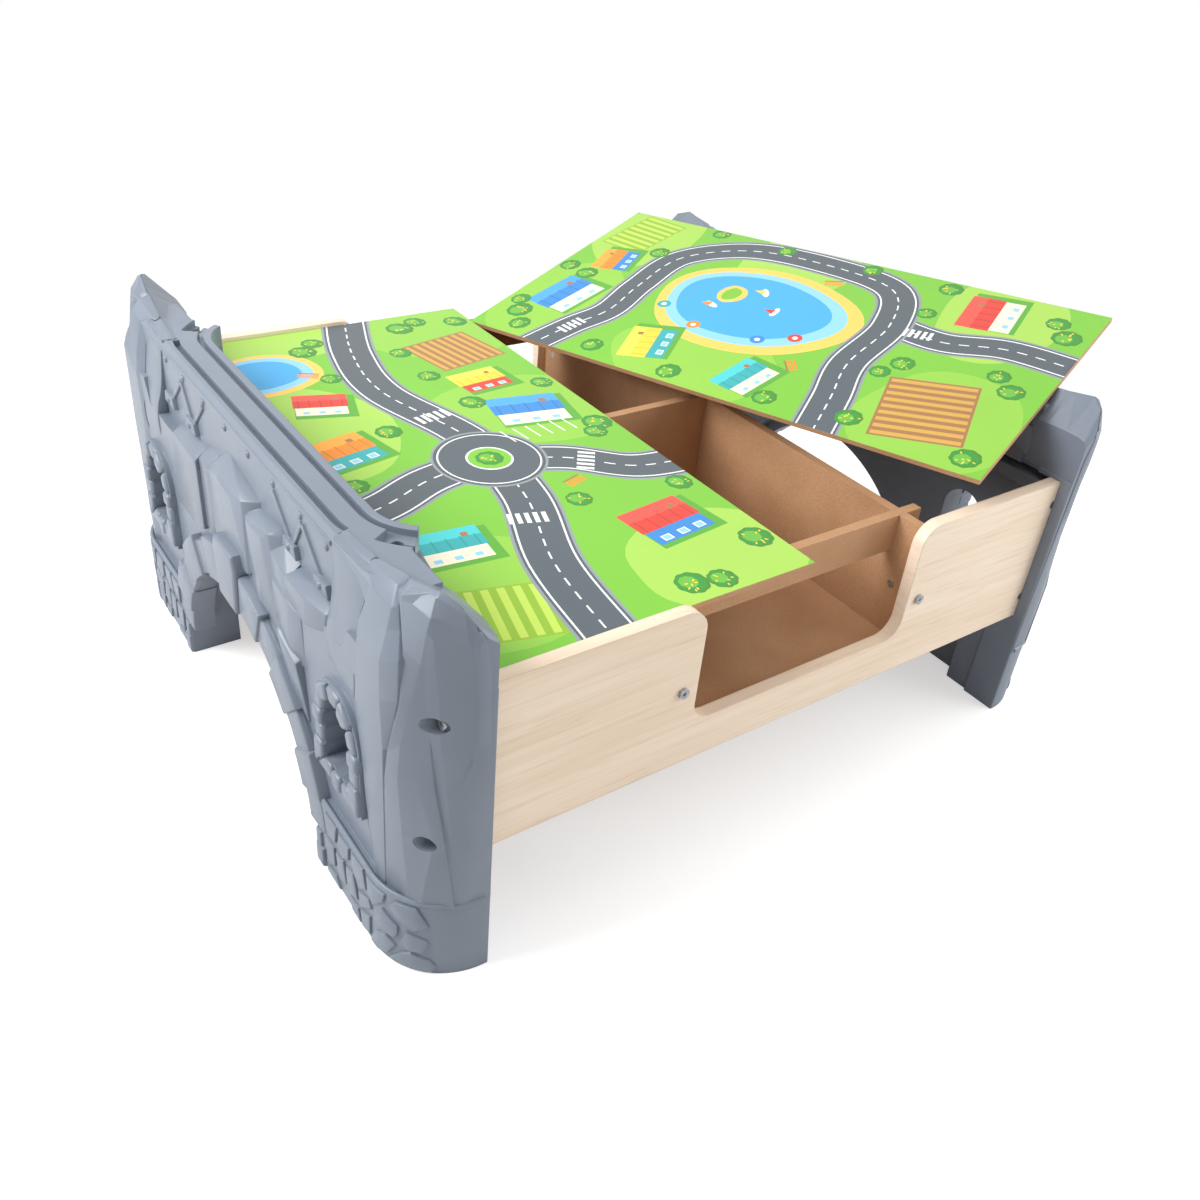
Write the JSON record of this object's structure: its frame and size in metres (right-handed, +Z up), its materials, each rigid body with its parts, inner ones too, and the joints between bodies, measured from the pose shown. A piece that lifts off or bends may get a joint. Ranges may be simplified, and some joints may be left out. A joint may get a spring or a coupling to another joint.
{
  "type": "train table",
  "caption": "Low play table for wooden trains: two rock-bridge end panels with track decks, wood side panels with reach-in cut-outs, storage bins and loose printed play boards.",
  "frame": {"origin": "centre of the table on the floor, midway between the two end panels and the two side panels", "axes": "+X along the table towards the end panel on which the lifted board lies, +Y across the table away from the viewer, +Z up"},
  "size_m": [1.0768, 0.86, 0.467],
  "materials": {
    "moulded_plastic": "satin grey blow-moulded plastic",
    "maple_laminate": "pale maple laminate on board",
    "fibreboard": "raw brown fibreboard",
    "printed_board": "printed and lacquered fibreboard",
    "zinc_steel": "bright zinc"
  },
  "bodies": {
    "frame": {"left_end_panel": "moulded_plastic", "right_end_panel": "moulded_plastic", "front_side_panel": "maple_laminate", "back_side_panel": "maple_laminate", "left_partition": "fibreboard", "right_partition": "fibreboard", "front_rail": "fibreboard", "back_rail": "fibreboard", "centre_divider": "fibreboard", "bin_floor": "fibreboard", "end_bolts": "zinc_steel", "end_barrel_nuts": "zinc_steel", "partition_bolts": "zinc_steel", "partition_barrel_nuts": "zinc_steel"},
    "left_board": {"left_play_board": "printed_board"},
    "right_board": {"right_play_board": "printed_board"}
  },
  "joints": [
    {"name": "left_board_tilt", "type": "hinge", "parent": "frame", "child": "left_board", "pos_m": [-0.4065, 0, 0.328], "axis": [0, -1, 0], "range_deg": [0, 10]},
    {"name": "right_board_lift", "type": "slide", "parent": "frame", "child": "right_board", "axis": [0, 0, 1], "range_m": [0, 0.25]}
  ]
}
